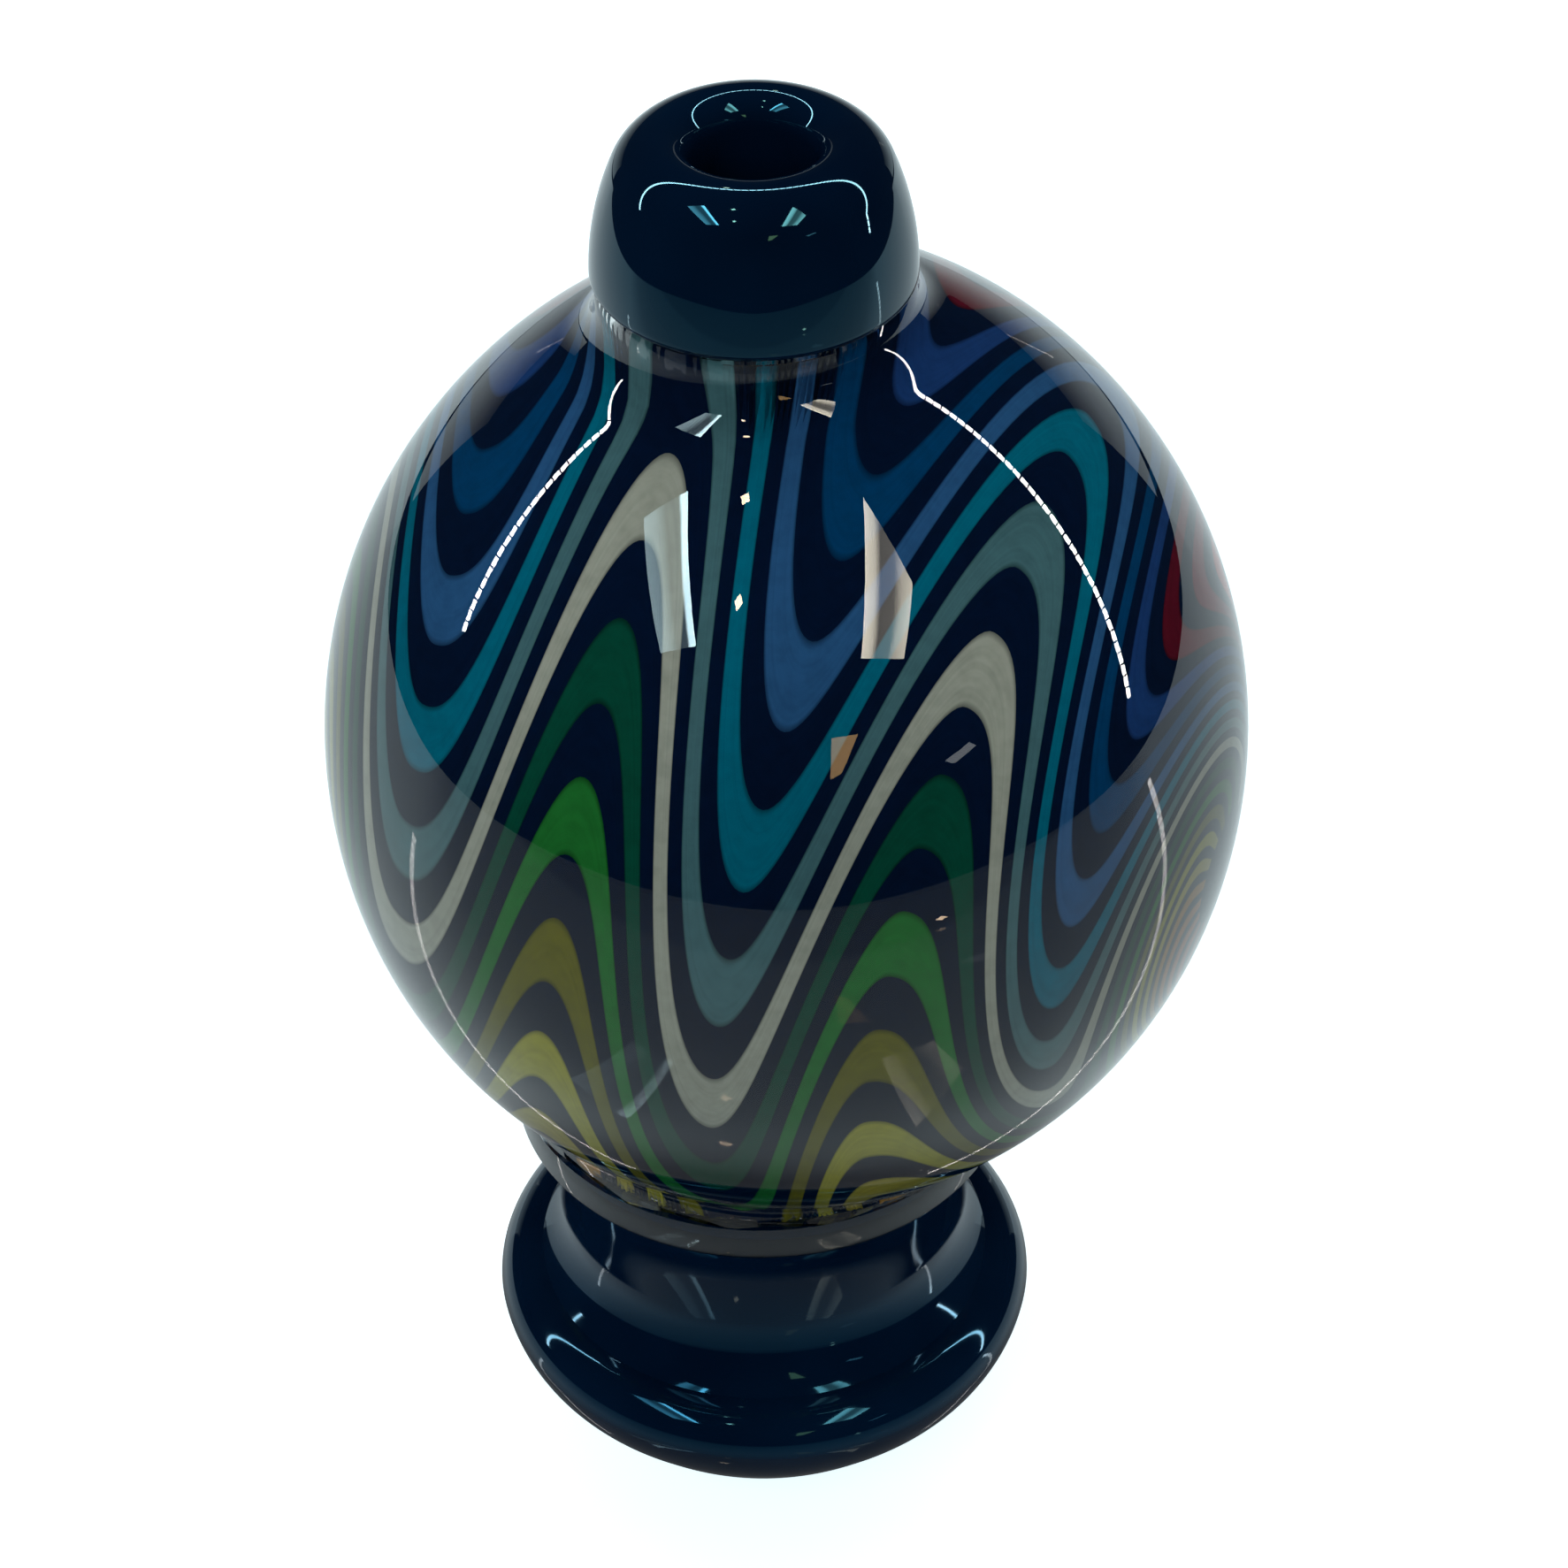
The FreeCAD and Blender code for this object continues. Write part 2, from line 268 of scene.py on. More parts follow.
def ramp(tree, source, stops):
    """Colour output of a ramp with (place, colour) stops."""
    made = tree.nodes.new("ShaderNodeValToRGB")
    elements = made.color_ramp.elements
    while len(elements) < len(stops):
        elements.new(0.5)
    for element, (place, colour) in zip(elements, stops):
        element.position = place
        element.color = (*colour, 1)
    tree.links.new(source, made.inputs["Fac"])
    return made.outputs["Color"]


def grey(amount):
    return (amount, amount, amount)


def map_range(tree, source, limits, **settings):
    """Output of a Map Range node; limits are from min, from max, to min and to max."""
    made = node(tree, "ShaderNodeMapRange", **settings)
    for key, value in zip(("From Min", "From Max", "To Min", "To Max"), limits):
        made.inputs[key].default_value = value
    tree.links.new(source, made.inputs["Value"])
    return made.outputs[0]


def noise(tree, **settings):
    """Noise in object space."""
    place = node(tree, "ShaderNodeTexCoord")
    made = node(tree, "ShaderNodeTexNoise", **settings)
    tree.links.new(place.outputs["Object"], made.inputs["Vector"])
    return made.outputs["Fac"]


def wavy(tree, shader, height, strength, distance):
    """Slight waviness of a fire-polished surface."""
    bump = node(tree, "ShaderNodeBump", Strength=strength, Distance=distance)
    tree.links.new(height, bump.inputs["Height"])
    tree.links.new(bump.outputs[0], shader.inputs["Normal"])


def mix(tree, factor, first, second, blend="MIX"):
    """Mixed colour; each part is a number, a colour or a socket."""
    made = tree.nodes.new("ShaderNodeMix")
    made.data_type = "RGBA"
    made.blend_type = blend
    for socket, value in ((made.inputs[0], factor), (made.inputs[6], first),
                          (made.inputs[7], second)):
        if isinstance(value, bpy.types.NodeSocket):
            tree.links.new(value, socket)
        elif isinstance(value, (int, float)):
            socket.default_value = value
        else:
            socket.default_value = (*value, 1)
    return made.outputs[2]


def shade(colour, amount):
    """Colour made lighter or darker."""
    return tuple(min(1.0, c * amount) for c in colour)


# ---------------------------------------------------------------- materials
def cane_glass(name, colour, edge):
    """Opaque coloured glass: lengthwise streaks from the pull, a thinner darker edge,
    and a thinner darker stretch towards each closing button."""
    material, tree, shader = new_material(name)
    uv = node(tree, "ShaderNodeUVMap", uv_map="run")
    stretch = node(tree, "ShaderNodeMapping")
    stretch.inputs["Scale"].default_value = (7.0, 9.0, 1.0)
    tree.links.new(uv.outputs[0], stretch.inputs[0])
    streak = node(tree, "ShaderNodeTexNoise", Scale=1.0, Detail=4.0, Roughness=0.55)
    tree.links.new(stretch.outputs[0], streak.inputs["Vector"])
    body = ramp(tree, streak.outputs["Fac"], [(0.3, shade(colour, 0.9)), (0.5, colour),
                                              (0.72, shade(colour, 1.08))])
    speck = ramp(tree, noise(tree, Scale=900.0, Detail=3.0, Roughness=0.6),
                 [(0.3, grey(0.86)), (0.6, grey(1))])
    body = mix(tree, 1.0, body, speck, "MULTIPLY")
    parts = node(tree, "ShaderNodeSeparateXYZ")
    tree.links.new(uv.outputs[0], parts.inputs[0])
    rim = ramp(tree, parts.outputs["Y"], [(0.0, grey(1)), (0.09, grey(0)),
                                          (0.91, grey(0)), (1.0, grey(1))])
    body = mix(tree, rim, body, edge)
    thinned = ramp(tree, parts.outputs["X"], [(0.0, grey(0.9)), (0.12, grey(0.6)),
                                              (0.22, grey(0)), (0.79, grey(0)),
                                              (0.87, grey(0.5)), (0.95, grey(0.9))])
    body = mix(tree, thinned, body, edge)
    tree.links.new(body, shader.inputs["Base Color"])
    shader.inputs["Roughness"].default_value = 0.6
    shader.inputs["Specular IOR Level"].default_value = 0.0
    return material


BLACK_LOW, BLACK_HIGH = (0.0006, 0.006, 0.021), (0.001, 0.011, 0.034)


def black_glass(name, gloss, sheen):
    """Blue-black glass, clouded, with fine wear in its gloss."""
    material, tree, shader = new_material(name)
    cloud = noise(tree, Scale=60.0, Detail=3.0, Roughness=0.5)
    tree.links.new(ramp(tree, cloud, [(0.35, BLACK_LOW), (0.7, BLACK_HIGH)]),
                   shader.inputs["Base Color"])
    wear = noise(tree, Scale=420.0, Detail=5.0, Roughness=0.62)
    tree.links.new(map_range(tree, wear, (0.35, 0.75, gloss, gloss + 0.03)),
                   shader.inputs["Roughness"])
    wavy(tree, shader, noise(tree, Scale=38.0, Detail=1.0), 0.25, 0.0012)
    shader.inputs["IOR"].default_value = 1.5
    shader.inputs["Specular Tint"].default_value = (*sheen, 1)
    return material


def clear_glass(name):
    """Clear glass that lets light through to the linework without noise."""
    material, tree, shader = new_material(name)
    shader.inputs["Base Color"].default_value = (0.97, 0.99, 0.985, 1)
    shader.inputs["Roughness"].default_value = 0.0
    shader.inputs["IOR"].default_value = 1.47
    shader.inputs["Transmission Weight"].default_value = 1.0
    wavy(tree, shader, noise(tree, Scale=14.0, Detail=1.0), 0.006, 0.001)
    open_way = node(tree, "ShaderNodeBsdfTransparent")
    open_way.inputs[0].default_value = (0.93, 0.95, 0.95, 1)
    path = node(tree, "ShaderNodeLightPath")
    both = node(tree, "ShaderNodeMixShader")
    tree.links.new(path.outputs["Is Shadow Ray"], both.inputs[0])
    tree.links.new(shader.outputs[0], both.inputs[1])
    tree.links.new(open_way.outputs[0], both.inputs[2])
    tree.links.new(both.outputs[0], tree.nodes["Material Output"].inputs["Surface"])
    return material


CANE_TINTS = {
    "cream": (0.28, 0.30, 0.25), "sage": (0.048, 0.12, 0.135), "teal": (0.0, 0.11, 0.17),
    "periwinkle": (0.017, 0.073, 0.18), "cobalt": (0.0, 0.035, 0.105),
    "violet": (0.008, 0.035, 0.13), "red": (0.075, 0.003, 0.010),
    "ruby": (0.09, 0.003, 0.014), "scarlet": (0.24, 0.013, 0.010),
    "vermilion": (0.30, 0.036, 0.008), "orange": (0.34, 0.08, 0.006),
    "tangerine": (0.34, 0.12, 0.008), "amber": (0.32, 0.16, 0.008),
    "lemon": (0.32, 0.29, 0.04), "yellow": (0.28, 0.28, 0.02),
    "gold": (0.11, 0.11, 0.004), "leaf_green": (0.011, 0.13, 0.021),
    "forest_green": (0.001, 0.05, 0.029),
}
INK = (0.0006, 0.0050, 0.020)

ink_glass = cane_glass("ink_cane_glass", INK, INK)
clear = clear_glass("clear_casing_glass")
black = black_glass("black_collar_glass", 0.02, (0.2, 0.75, 1.0))
# painted shade: the foot's copy of the black glass has a darker reflection tint, so its
# highlights come out dimmer than the collar's
foot_black = black_glass("black_foot_glass", 0.04, (0.10, 0.42, 0.66))

# ---------------------------------------------------------------- the blown body
STATIONS, ACROSS = 300, 6      # steps along and across a cane
EDGE_SHADE = 0.35              # how dark a colour is where it thins out
HARD_EDGE = 50                 # degrees


def cane(name, start, end):
    """Closed strip between two angles round the axis, and its outer points."""
    at = np.linspace(-90 + BUTTON, 90 - BUTTON, STATIONS)
    share = np.linspace(0, 1, ACROSS + 1)
    grid_at, grid_share = np.meshgrid(at, share, indexing="ij")
    directions = laid(grid_at, start + (end - start) * grid_share)
    top = MIDDLE + directions * linework(directions)[..., None]
    bottom = MIDDLE + directions * cavity(directions)[..., None]
    loop = np.concatenate([top, bottom[:, ::-1]], axis=1)
    columns = loop.shape[1]
    faces = grid_faces(STATIONS, columns, False)
    for row in (0, STATIONS - 1):
        base = row * columns
        for j in range(ACROSS):
            faces.append((base + j, base + j + 1, base + columns - 2 - j,
                          base + columns - 1 - j))
    run = (grid_at + 90) / 180
    uv = np.stack([np.concatenate([run, run[:, ::-1]], axis=1),
                   np.concatenate([grid_share, grid_share[:, ::-1]], axis=1)], axis=-1)
    obj = make_mesh(name, loop.reshape(-1, 3), faces, uv.reshape(-1, 2), HARD_EDGE)
    return obj, top


def drill(obj, radius, low, high):
    """Cut an upright round hole on the neck axis."""
    turns = 72
    angle = np.linspace(0, 2 * np.pi, turns, endpoint=False)
    rings = [np.stack([radius * np.cos(angle), radius * np.sin(angle),
                       np.full(turns, z)], axis=-1) for z in (low, high)]
    faces = grid_faces(2, turns, False)
    faces += [tuple(range(turns)), tuple(range(turns, 2 * turns))]
    tool = make_mesh("drill", np.concatenate(rings), faces)
    cut = obj.modifiers.new("hole", "BOOLEAN")
    cut.operation = "DIFFERENCE"
    cut.solver = "EXACT"
    cut.object = tool
    bpy.context.view_layer.update()
    cut_mesh = bpy.data.meshes.new_from_object(
        obj.evaluated_get(bpy.context.evaluated_depsgraph_get()))
    obj.modifiers.clear()
    obj.data = cut_mesh
    bpy.data.objects.remove(tool)


half = COLOURED / 2
for number, colour in enumerate(COLOURS):
    place = number * PAIR
    tint = CANE_TINTS[colour]
    glass = cane_glass(colour + "_cane_glass", tint, shade(tint, EDGE_SHADE))
    for kind, start, end, material, slot in (
            (colour, place - half, place + half, glass, colour + "_glass"),
            ("black", place + half, place + PAIR - half, ink_glass, "black_glass")):
        cad_name = "cane_%02d_%s" % (number + 1, kind)
        piece, top = cane("linework_%02d_%s" % (number + 1, kind), start, end)
        near = np.hypot(top[..., 0], top[..., 1]) < CUT + 0.05
        if (near & (top[..., 2] > MIDDLE[2])).any():
            drill(piece, CUT, MIDDLE[2], CREASE + 5)
        declare(piece, cad_name, material)


def end_button(name, side):
    """Round button of black glass that closes the linework at one end of its axis."""
    rows, columns = 9, 64
    at = side * (90 - np.linspace(0, BUTTON + 0.15, rows)[1:])
    around = np.linspace(0, 360, columns, endpoint=False)
    grid_at, grid_round = np.meshgrid(at, around, indexing="ij")
    directions = heading(grid_at, grid_round)
    pole = ALONG * side
    outside = MIDDLE + directions * (linework(directions) - SKIN)[..., None]
    inside = MIDDLE + directions * (cavity(directions) + SKIN)[..., None]
    points = [MIDDLE + pole * (linework(pole) - SKIN)]
    points += list(outside.reshape(-1, 3)) + list(inside[::-1].reshape(-1, 3))
    points.append(MIDDLE + pole * (cavity(pole) + SKIN))
    ring = [(a + 1, b + 1, c + 1, d + 1)
            for a, b, c, d in grid_faces(2 * (rows - 1), columns, False)]
    last = len(points) - 1
    caps = [(0, 1 + (j + 1) % columns, 1 + j) for j in range(columns)]
    caps += [(last, last - columns + j, last - columns + (j + 1) % columns)
             for j in range(columns)]
    uv = np.full((len(points), 2), 0.5)
    return make_mesh(name, points, ring + caps, uv, HARD_EDGE)


for side, word in ((-1, "left"), (1, "right")):
    declare(end_button("end_button_" + word, side), "button_" + word,
            ink_glass)


def blown_casing():
    """Closed shell of clear glass: outside, hole edge, inside."""
    rows, columns = 200, 256
    around = np.linspace(0, 2 * np.pi, columns, endpoint=False)
    rim = np.stack([HOLE * np.cos(around), HOLE * np.sin(around),
                    np.full(columns, CREASE)], axis=-1) - MIDDLE
    rim /= np.linalg.norm(rim, axis=1)[:, None]
    down = np.array([0.0, 0.0, -1.0])
    opening = np.arccos(np.clip(rim @ down, -1, 1))
    # rows are packed closer together under the neck
    share = np.linspace(0, 1, rows)[:-1]
    share = 0.55 * share + 0.45 * share ** 2.2
    angle = share[:, None] * opening[None, :]
    side = rim - down * (rim @ down)[:, None]
    side /= np.linalg.norm(side, axis=1)[:, None]
    turn = opening[None, :] - angle
    directions = down * np.cos(turn)[..., None] + side[None] * np.sin(turn)[..., None]
    outside = MIDDLE + directions * outer(directions)[..., None]
    inside = MIDDLE + directions * (linework(directions) - LAP)[..., None]
    flat = np.concatenate([inside.reshape(-1, 3)[::-1].reshape(inside.shape)[:, ::-1],
                           outside])
    points = list(flat.reshape(-1, 3))
    total = len(flat)
    faces = grid_faces(total, columns, False)
    points.append(MIDDLE + down * (linework(down) - LAP))
    points.append(MIDDLE + down * outer(down))
    inner_pole, outer_pole = len(points) - 2, len(points) - 1
    last = (total - 1) * columns
    faces += [(inner_pole, j, (j + 1) % columns) for j in range(columns)]
    faces += [(outer_pole, last + (j + 1) % columns, last + j) for j in range(columns)]
    return make_mesh("blown_casing", points, faces, None, 40)


declare(blown_casing(), "clear_casing", clear)


# ---------------------------------------------------------------- turned glass
def arc_points(start, end, radius, turn, count):
    """Points from start up to but not at end, on an arc that bends left (1) or right (-1)."""
    start, end = np.array(start, float), np.array(end, float)
    if not radius:
        share = np.linspace(0, 1, count, endpoint=False)[:, None]
        return start + (end - start) * share
    chord = end - start
    left = np.array([-chord[1], chord[0]]) / np.linalg.norm(chord)
    centre = (start + end) / 2 + left * turn * math.sqrt(
        radius ** 2 - (np.linalg.norm(chord) / 2) ** 2)
    first = math.atan2(*(start - centre)[::-1])
    last = math.atan2(*(end - centre)[::-1])
    sweep = (last - first) % (2 * math.pi) if turn > 0 else -((first - last) % (2 * math.pi))
    angle = first + sweep * np.linspace(0, 1, count, endpoint=False)
    return centre + radius * np.stack([np.cos(angle), np.sin(angle)], axis=-1)


def turned(name, outline):
    """Closed ring turned about the Z axis from (radius, height, arc, turn, count) steps."""
    profile = []
    for step, following in zip(outline, outline[1:] + outline[:1]):
        profile += list(arc_points(step[:2], following[:2], *step[2:]))
    profile = np.array(profile)
    columns = 192
    around = np.linspace(0, 2 * np.pi, columns, endpoint=False)
    points = np.stack([profile[:, :1] * np.cos(around), profile[:, :1] * np.sin(around),
                       np.repeat(profile[:, 1:], columns, axis=1)], axis=-1)
    return make_mesh(name, points.reshape(-1, 3),
                     grid_faces(len(profile), columns, True), None, 35)


BORE, SPIGOT = 4.05, 7.2
declare(turned("collar", [
    (BORE, SPIGOT_END, 0, 0, 2),
    (SPIGOT, SPIGOT_END, 0, 0, 6),
    (SPIGOT, CREASE, 0, 0, 4),
    (10.25, CREASE, 0.7, 1, 8),
    (10.58, CREASE + 0.5, 19.9, 1, 30),
    (9.09, LIP - 2.4, 3.8, 1, 30),
    (6.15, LIP, 2.1, 1, 30),
    (BORE, LIP - 2.1, 0, 0, 20)]), "neck_collar", black)

RING_BORE = 14.0
declare(turned("foot_bead", [
    (RING_BORE, RING_BOTTOM, 0, 0, 6),
    (17.5, RING_BOTTOM, 1.0, 1, 12),
    (18.35, RING_BOTTOM + 0.9, 12.0, 1, 12),
    (18.35, HEEL, 0, 0, 6),
    (RING_BORE, HEEL, 0, 0, 4)]), "clear_ring", clear)

TINY = 0.02     # pieces without a hole still keep off the axis by this much
declare(turned("foot_cove", [
    (TINY, DISC_TOP, 0, 0, 8),
    (17.1, DISC_TOP, 7.0, -1, 30),
    (14.6, 20.8, 27.0, -1, 24),
    (16.6, RING_BOTTOM, 0, 0, 4),
    (RING_BORE, RING_BOTTOM, 0, 0, 4),
    (RING_BORE, HEEL - 0.4, 0, 0, 6),
    (TINY, 30.4, 0, 0, 4)]), "foot_stem", foot_black)

declare(turned("foot_rim", [
    (TINY, DISC_BOTTOM, 0, 0, 6),
    (9.95, DISC_BOTTOM, 34.0, 1, 20),
    (18.3, 8.0, 8.0, 1, 20),
    (20.4, 12.4, 3.1, 1, 24),
    (17.2, DISC_TOP, 0, 0, 10),
    (TINY, DISC_TOP, 0, 0, 4)]), "foot_disc", foot_black)


# ---------------------------------------------------------------- studio
def emitter(name, colour, strength):
    """Material that only glows."""
    material, _, shader = new_material(name)
    shader.inputs["Base Color"].default_value = (0, 0, 0, 1)
    shader.inputs["Specular IOR Level"].default_value = 0
    shader.inputs["Emission Color"].default_value = (*colour, 1)
    shader.inputs["Emission Strength"].default_value = strength
    return material


def panel(name, corners, material):
    """Flat stage object; one with four corners has its whole picture space."""
    mesh = bpy.data.meshes.new(name)
    mesh.from_pydata([tuple(c) for c in corners], [], [tuple(range(len(corners)))])
    layer = mesh.uv_layers.new(name="UVMap")
    if len(corners) == 4:
        for loop, uv in zip(layer.data, ((0, 0), (1, 0), (1, 1), (0, 1))):
            loop.uv = uv
    obj = bpy.data.objects.new(name, mesh)
    bpy.context.collection.objects.link(obj)
    obj.data.materials.append(material)
    return obj


SHEET_COLOUR = (0.80, 0.96, 1.0)


def white_sheet(name, glow, base):
    """White surface with an even glow of its own."""
    material, tree, shader = new_material(name)
    shader.inputs["Base Color"].default_value = (*grey(base), 1)
    shader.inputs["Roughness"].default_value = 0.0
    shader.inputs["Emission Color"].default_value = (*SHEET_COLOUR, 1)
    shader.inputs["Emission Strength"].default_value = glow
    material.cycles.emission_sampling = "NONE"
    return material, tree, shader


def multiply(tree, first, second):
    """Product of a socket and another socket or a number."""
    made = node(tree, "ShaderNodeMath", operation="MULTIPLY")
    tree.links.new(first, made.inputs[0])
    if isinstance(second, bpy.types.NodeSocket):
        tree.links.new(second, made.inputs[1])
    else:
        made.inputs[1].default_value = second
    return made.outputs[0]


def shaded_sheet(name, glow, base, front_edge):
    """White sheet whose glow carries painted shade: a painted shadow beside the foot, and a
    painted shadow of the vase that darkens it towards the front.
    """
    material, tree, shader = white_sheet(name, glow, base)
    spot = node(tree, "ShaderNodeNewGeometry")
    parts = node(tree, "ShaderNodeSeparateXYZ")
    tree.links.new(spot.outputs["Position"], parts.inputs[0])
    flat = node(tree, "ShaderNodeVectorMath", operation="MULTIPLY")
    flat.inputs[1].default_value = (1, 1, 0)
    tree.links.new(spot.outputs["Position"], flat.inputs[0])
    from_axis = node(tree, "ShaderNodeVectorMath", operation="LENGTH")
    tree.links.new(flat.outputs[0], from_axis.inputs[0])
    # painted contact shadow and painted reflection of the dark vase: the sheet's glow is dimmed
    # close round the foot
    painted_foot_shadow = map_range(tree, from_axis.outputs["Value"], (0.022, 0.05, 0.04, 1.0),
                     interpolation_type="SMOOTHSTEP")
    # painted shade: the sheet's glow fades towards its front edge, for the vase's shadow in
    # front and the light falling off away from the vase
    forward = map_range(tree, parts.outputs["Y"], (front_edge, 0.0, 0.0, 1.0))
    front = node(tree, "ShaderNodeRGBToBW")
    tree.links.new(ramp(tree, forward, [
        (0.0, grey(0.22)), (0.52, grey(0.28)), (0.56, grey(0.42)), (0.8, grey(0.5)),
        (0.9, grey(0.6)), (1.0, grey(1))]), front.inputs[0])
    glow_here = multiply(tree, multiply(tree, painted_foot_shadow, front.outputs[0]), glow)
    tree.links.new(glow_here, shader.inputs["Emission Strength"])
    return material


def fading_sheet(name, glow, base):
    """White sheet that goes dark towards its top."""
    material, tree, shader = white_sheet(name, glow, base)
    uv = node(tree, "ShaderNodeUVMap", uv_map="UVMap")
    parts = node(tree, "ShaderNodeSeparateXYZ")
    tree.links.new(uv.outputs[0], parts.inputs[0])
    tree.links.new(ramp(tree, parts.outputs["Y"], [(0.0, SHEET_COLOUR), (0.4, (0.6, 0.7, 0.72)),
                                                   (1.0, grey(0))]),
                   shader.inputs["Emission Color"])
    return material


def sheet_outline(left, right, near, back, z):
    """Corners of a rounded rectangle (a superellipse)."""
    corners = []
    for k in range(96):
        turn = 2 * math.pi * k / 96
        bulge = (abs(math.cos(turn)) ** 3 + abs(math.sin(turn)) ** 3) ** (-1 / 3)
        corners.append(((left + right) / 2 + (right - left) / 2 * bulge * math.cos(turn),
                        (near + back) / 2 + (back - near) / 2 * bulge * math.sin(turn), z))
    return corners


FLOOR = cad_bounds[0].z
LEFT, RIGHT, NEAR, BACK, HIGH = -0.42, 0.44, -0.45, 0.43, 0.16
FAR = 4.0
# wide floor that the camera sees
seen = panel("floor", [(-FAR, -FAR, FLOOR), (FAR, -FAR, FLOOR), (FAR, FAR, FLOOR),
                       (-FAR, FAR, FLOOR)], white_sheet("floor_white", 0.93, 0.8)[0])
seen.visible_glossy = seen.visible_diffuse = seen.visible_transmission = False
seen.visible_shadow = False
# sheet that the glass reflects, just under that floor, and its turned-up back
sheet = panel("sheet", sheet_outline(LEFT, RIGHT, NEAR, BACK, FLOOR - 0.0004),
              shaded_sheet("sheet_white", 0.8, 0.2, NEAR))
wall = panel("sheet_back", [(LEFT, BACK, FLOOR), (RIGHT, BACK, FLOOR), (RIGHT, BACK, HIGH),
                            (LEFT, BACK, HIGH)], fading_sheet("back_white", 0.6, 0.2))
sheet.visible_camera = wall.visible_camera = False

# arch of small lamps, over and behind the vase
CENTRE = Vector(MIDDLE * MM)
ARCH, LAMPS = 0.5, 96
ARCH_FIRST, ARCH_SWEEP = 0.5, 167.5         # degrees
ARCH_TOP = Vector((0, 0.371, 0.928))        # direction of its highest point
LAMP_ALONG, LAMP_ACROSS = 0.00646, 0.00578  # half sizes of one lamp
verts, faces = [], []
for k in range(LAMPS):
    turn = math.radians(ARCH_FIRST + ARCH_SWEEP * k / (LAMPS - 1))
    way = Vector((math.cos(turn), 0, 0)) + ARCH_TOP * math.sin(turn)
    run = Vector((-math.sin(turn), 0, 0)) + ARCH_TOP * math.cos(turn)
    over = way.cross(run).normalized()
    base = len(verts)
    for a, b in ((-1, -1), (1, -1), (1, 1), (-1, 1)):
        verts.append(CENTRE + way * ARCH + run * (a * LAMP_ALONG) + over * (b * LAMP_ACROSS))
    faces.append((base, base + 1, base + 2, base + 3))
mesh = bpy.data.meshes.new("lamp_arch")
mesh.from_pydata(verts, [], faces)
arch = bpy.data.objects.new("lamp_arch", mesh)
bpy.context.collection.objects.link(arch)
arch.data.materials.append(emitter("lamp_arch", (1.0, 0.95, 0.92), 38.0))
arch.visible_camera = arch.visible_transmission = False

# soft light from the front, which leaves no highlight
light = bpy.data.lights.new("front_fill", "AREA")
light.shape = "RECTANGLE"
light.size, light.size_y = 0.8, 0.6
light.energy = 5.0
light.color = (0.97, 0.98, 1.0)
fill = bpy.data.objects.new("front_fill", light)
fill.location = CENTRE + Vector((-0.25, -0.9, 0.75))
fill.rotation_euler = (CENTRE - fill.location).to_track_quat("-Z", "Y").to_euler()
bpy.context.collection.objects.link(fill)
fill.visible_camera = fill.visible_glossy = False


def glow_quad(name, places, colour, strength, bands=None):
    """Highlight source seen only in reflections, with its places measured from the body's
    middle; bands are (place across, share of the brightness) pairs."""
    material = emitter(name, colour, strength)
    if bands:
        tree = material.node_tree
        uv = node(tree, "ShaderNodeUVMap", uv_map="UVMap")
        parts = node(tree, "ShaderNodeSeparateXYZ")
        tree.links.new(uv.outputs[0], parts.inputs[0])
        shades = ramp(tree, parts.outputs["X"], [(p, shade(colour, v)) for p, v in bands])
        tree.links.new(shades, tree.nodes["Principled BSDF"].inputs["Emission Color"])
    obj = panel(name, [CENTRE + Vector(place) for place in places], material)
    obj.visible_camera = obj.visible_transmission = obj.visible_diffuse = False
    obj.visible_shadow = False


# windows
glow_quad("window_left", [(-0.359, -0.427, 0.423), (-0.264, -0.456, 0.461),
                          (-0.287, -0.120, 0.627), (-0.403, -0.128, 0.558)],
          (0.66, 0.92, 1.0), 30.0, [(0.0, 0.25), (0.25, 0.2), (0.5, 0.05), (0.78, 0.06),
                                    (0.86, 0.9), (1.0, 1.0)])
glow_quad("window_right", [(0.215, -0.493, 0.447), (0.330, -0.450, 0.415),
                           (0.363, -0.306, 0.514), (0.233, -0.165, 0.639)],
          (1.0, 0.93, 0.76), 18.0, [(0.0, 1.0), (0.2, 0.7), (0.32, 0.12), (0.6, 0.15),
                                   (0.75, 0.5), (1.0, 0.8)])
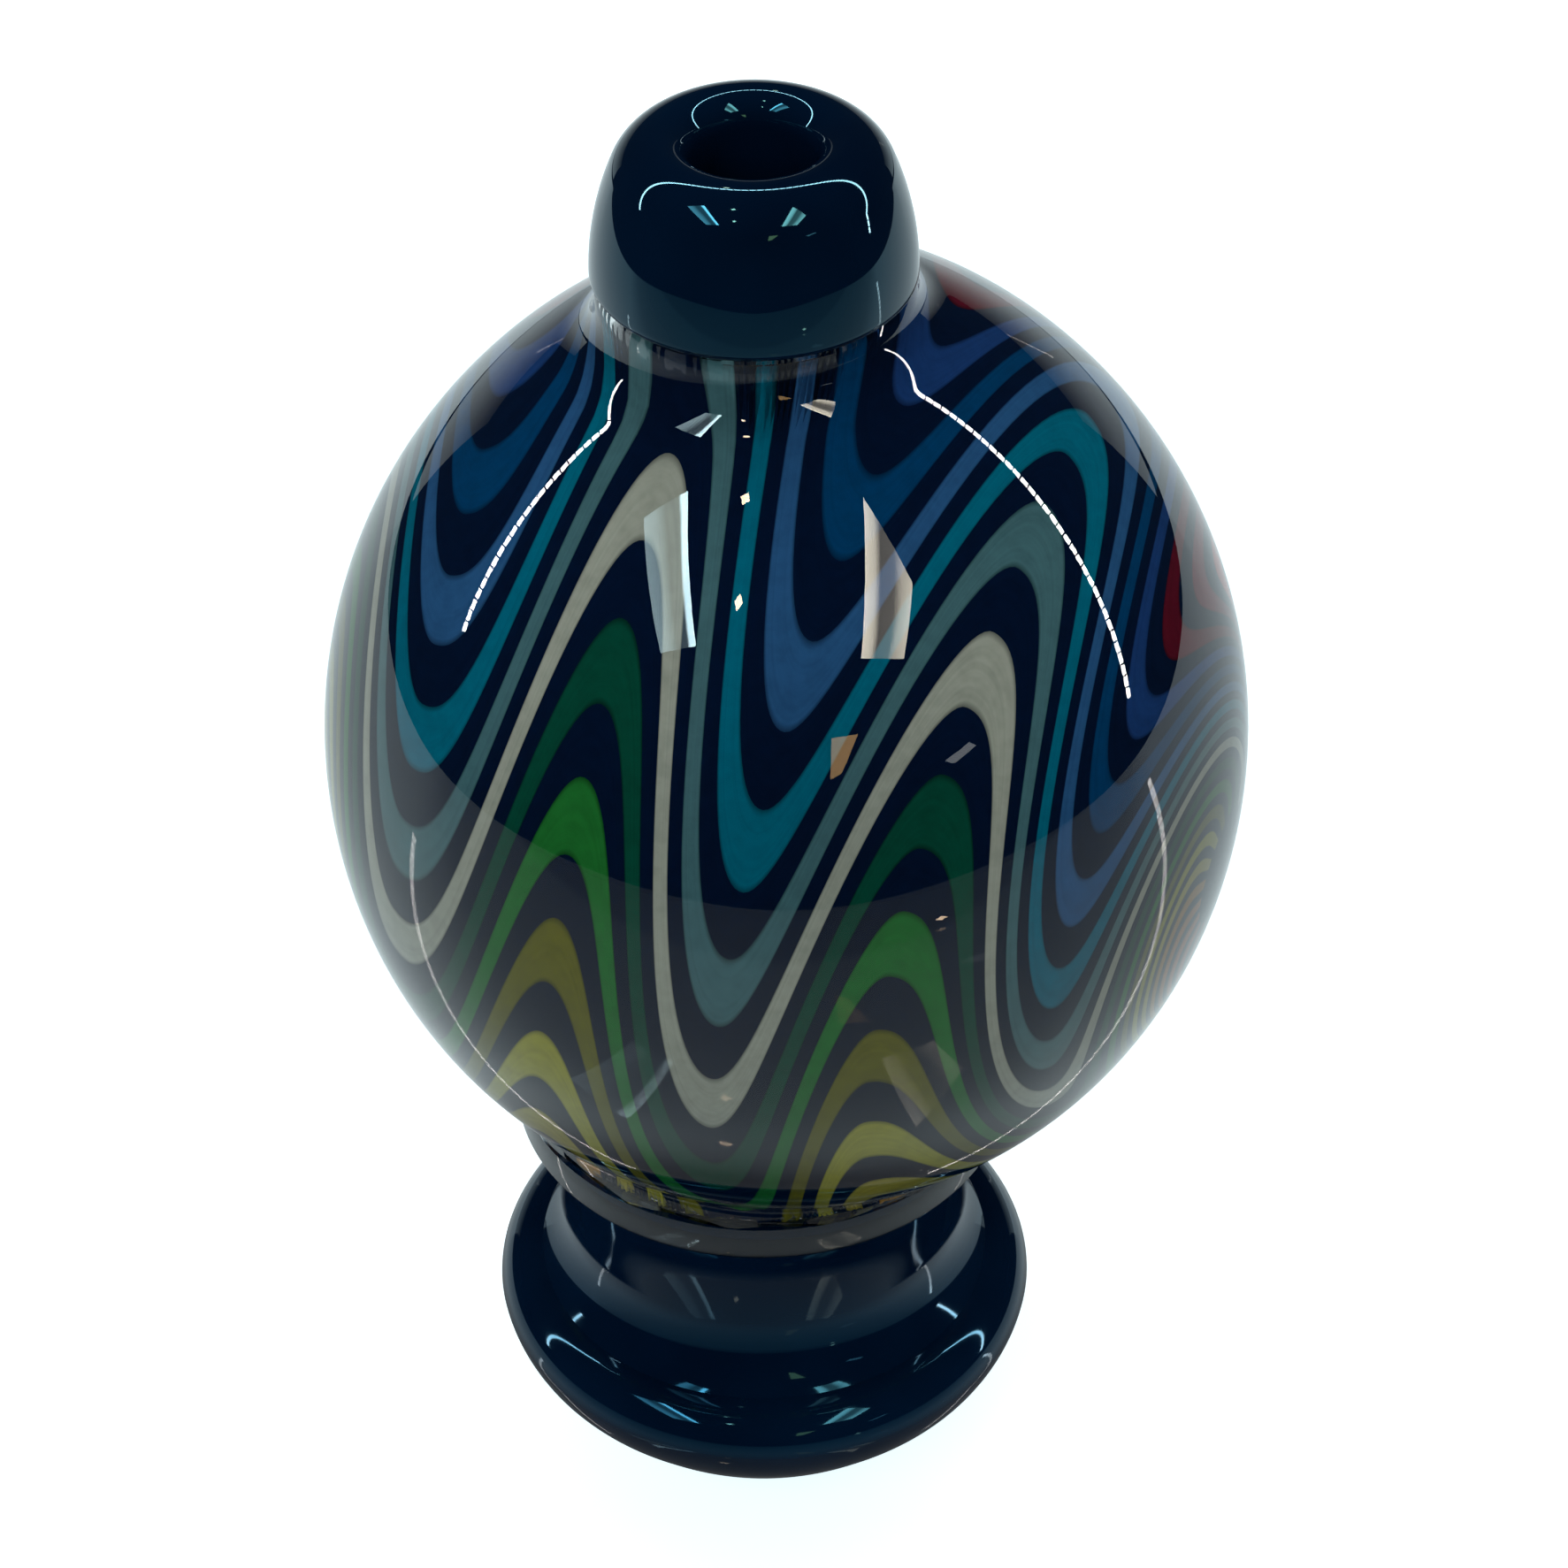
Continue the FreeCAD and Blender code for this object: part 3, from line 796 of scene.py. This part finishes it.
# small warm lamps: place, half width, half height, brightness
for k, (way, wide, tall, power) in enumerate((
        ((-0.104, -0.164, 0.568), 0.013, 0.016, 40.0),
        ((-0.122, -0.353, 0.469), 0.011, 0.018, 40.0),
        ((-0.064, 0.273, 0.560), 0.009, 0.009, 40.0),
        ((0.135, -0.215, -0.060), 0.006, 0.002, 14.0))):
    place = Vector(way)
    side = place.cross(Vector((0, 0, 1))).normalized() * wide
    up = side.cross(place).normalized() * tall
    glow_quad("warm_lamp_%d" % k, [place - side, place - up, place + side, place + up],
              (1.0, 0.74, 0.5), power)
# orange and grey patches
glow_quad("orange_patch", [(0.100, -0.556, 0.185), (0.128, -0.552, 0.195),
                           (0.170, -0.511, 0.264), (0.106, -0.528, 0.265)],
          (1.0, 0.62, 0.25), 5.0)
glow_quad("grey_patch", [(0.360, -0.452, 0.162), (0.379, -0.441, 0.149),
                         (0.425, -0.392, 0.160), (0.412, -0.400, 0.173)],
          (0.9, 0.95, 1.0), 3.0)

# dark room round it; the camera itself sees plain white
world = bpy.data.worlds.new("room")
world.use_nodes = True
bpy.context.scene.world = world
tree = world.node_tree
room = tree.nodes["Background"]
room.inputs[0].default_value = (0.35, 0.6, 1.0, 1)
room.inputs[1].default_value = 0.03
plain = node(tree, "ShaderNodeBackground")
plain.inputs[0].default_value = (1, 1, 1, 1)
path = node(tree, "ShaderNodeLightPath")
choose = node(tree, "ShaderNodeMixShader")
tree.links.new(path.outputs["Is Camera Ray"], choose.inputs[0])
tree.links.new(room.outputs[0], choose.inputs[1])
tree.links.new(plain.outputs[0], choose.inputs[2])
tree.links.new(choose.outputs[0], tree.nodes["World Output"].inputs["Surface"])

# ---------------------------------------------------------------- camera
optics = bpy.data.cameras.new("camera")
optics.sensor_width = 36.0
optics.lens = 94.86
optics.shift_x = 0.0157
optics.clip_start, optics.clip_end = 0.01, 20.0
camera = bpy.data.objects.new("camera", optics)
bpy.context.collection.objects.link(camera)
pitch_down, roll = math.radians(39.52), math.radians(-0.6)
camera.matrix_world = (Matrix.Translation((0.0, -0.22451, 0.24559))
                       @ Matrix.Rotation(math.pi / 2 - pitch_down, 4, "X")
                       @ Matrix.Rotation(roll, 4, "Z"))
bpy.context.scene.camera = camera
bpy.context.scene.view_settings.view_transform = "Standard"
